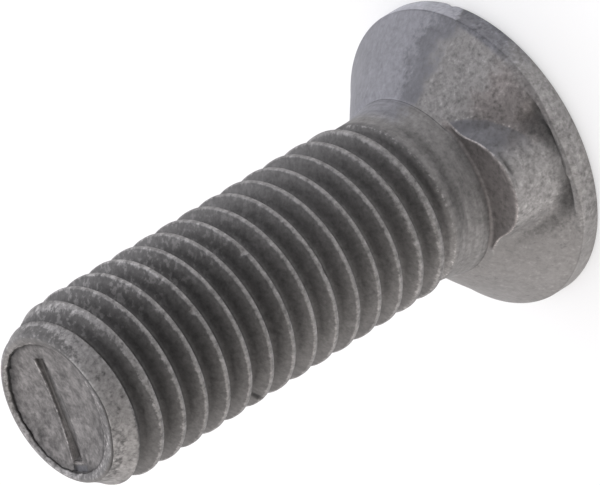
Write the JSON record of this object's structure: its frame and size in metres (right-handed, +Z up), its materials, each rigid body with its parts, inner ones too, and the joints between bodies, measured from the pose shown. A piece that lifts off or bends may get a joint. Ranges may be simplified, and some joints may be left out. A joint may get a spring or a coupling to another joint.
{
  "type": "plow bolt",
  "caption": "Countersunk plow bolt: flat round head on a 90 degree cone, a nib under the head that stops it turning, and a threaded shank.",
  "frame": {"origin": "centre of the flat head face, on which the bolt stands", "axes": "+Z runs up the shank to its end, +Y points to the nib, X completes the frame"},
  "size_m": [0.0166, 0.0166, 0.0297],
  "materials": {
    "steel": "matt grey coated steel, worn lighter on the thread's crests"
  },
  "bodies": {
    "root": {"bolt": "steel"}
  },
  "joints": []
}
